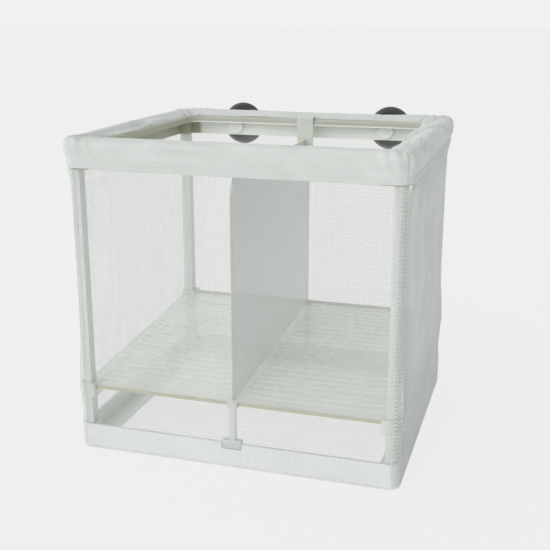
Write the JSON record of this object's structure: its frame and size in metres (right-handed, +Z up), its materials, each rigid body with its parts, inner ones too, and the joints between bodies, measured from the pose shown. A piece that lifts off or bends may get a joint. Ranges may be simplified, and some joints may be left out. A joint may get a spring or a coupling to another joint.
{
  "type": "fish breeding box",
  "caption": "Net-walled box for an aquarium: plastic frames and posts in a net bag, a sloping slotted floor, a sliding divider and suction cups at the back.",
  "frame": {"origin": "centre of the underside, where the box rests on a flat surface", "axes": "+X to the right seen from the front, +Y towards the suction cups at the back, +Z up"},
  "size_m": [0.16, 0.152, 0.1565],
  "materials": {
    "frame_plastic": "smooth moulded, ivory white",
    "clear_plastic": "frosted, see-through, grey-green",
    "net": "fine white mesh",
    "hem_cloth": "dense white woven strip",
    "elastic": "white covered elastic",
    "cup_rubber": "smooth black"
  },
  "bodies": {
    "box": {"top_frame": "frame_plastic", "bottom_frame": "frame_plastic", "post_front_left": "frame_plastic", "post_front_right": "frame_plastic", "post_rear_left": "frame_plastic", "post_rear_right": "frame_plastic", "strut_front": "frame_plastic", "strut_rear": "frame_plastic", "net_front": "net", "net_rear": "net", "net_left": "net", "net_right": "net", "net_bottom": "net", "net_seam_front_left": "net", "net_seam_front_right": "net", "net_seam_rear_left": "net", "net_seam_rear_right": "net", "hem_front": "hem_cloth", "hem_rear": "hem_cloth", "hem_left": "hem_cloth", "hem_right": "hem_cloth", "hem_elastic": "elastic"},
    "floor": {"slotted_floor": "clear_plastic"},
    "divider": {"divider_panel": "clear_plastic", "divider_hook": "frame_plastic"},
    "cup_left": {"suction_cup_left": "cup_rubber"},
    "cup_right": {"suction_cup_right": "cup_rubber"}
  },
  "joints": [
    {"name": "floor_lift", "type": "slide", "parent": "box", "child": "floor", "axis": [0, 0, 1], "range_m": [0, 0.006]},
    {"name": "divider_slide", "type": "slide", "parent": "floor", "child": "divider", "axis": [1, 0, 0], "range_m": [-0.05, 0.05]},
    {"name": "cup_left_turn", "type": "hinge", "parent": "box", "child": "cup_left", "pos_m": [-0.044, 0.0705, 0.1445], "axis": [0, 1, 0], "continuous": true},
    {"name": "cup_right_turn", "type": "hinge", "parent": "box", "child": "cup_right", "pos_m": [0.044, 0.0705, 0.1445], "axis": [0, 1, 0], "continuous": true}
  ]
}
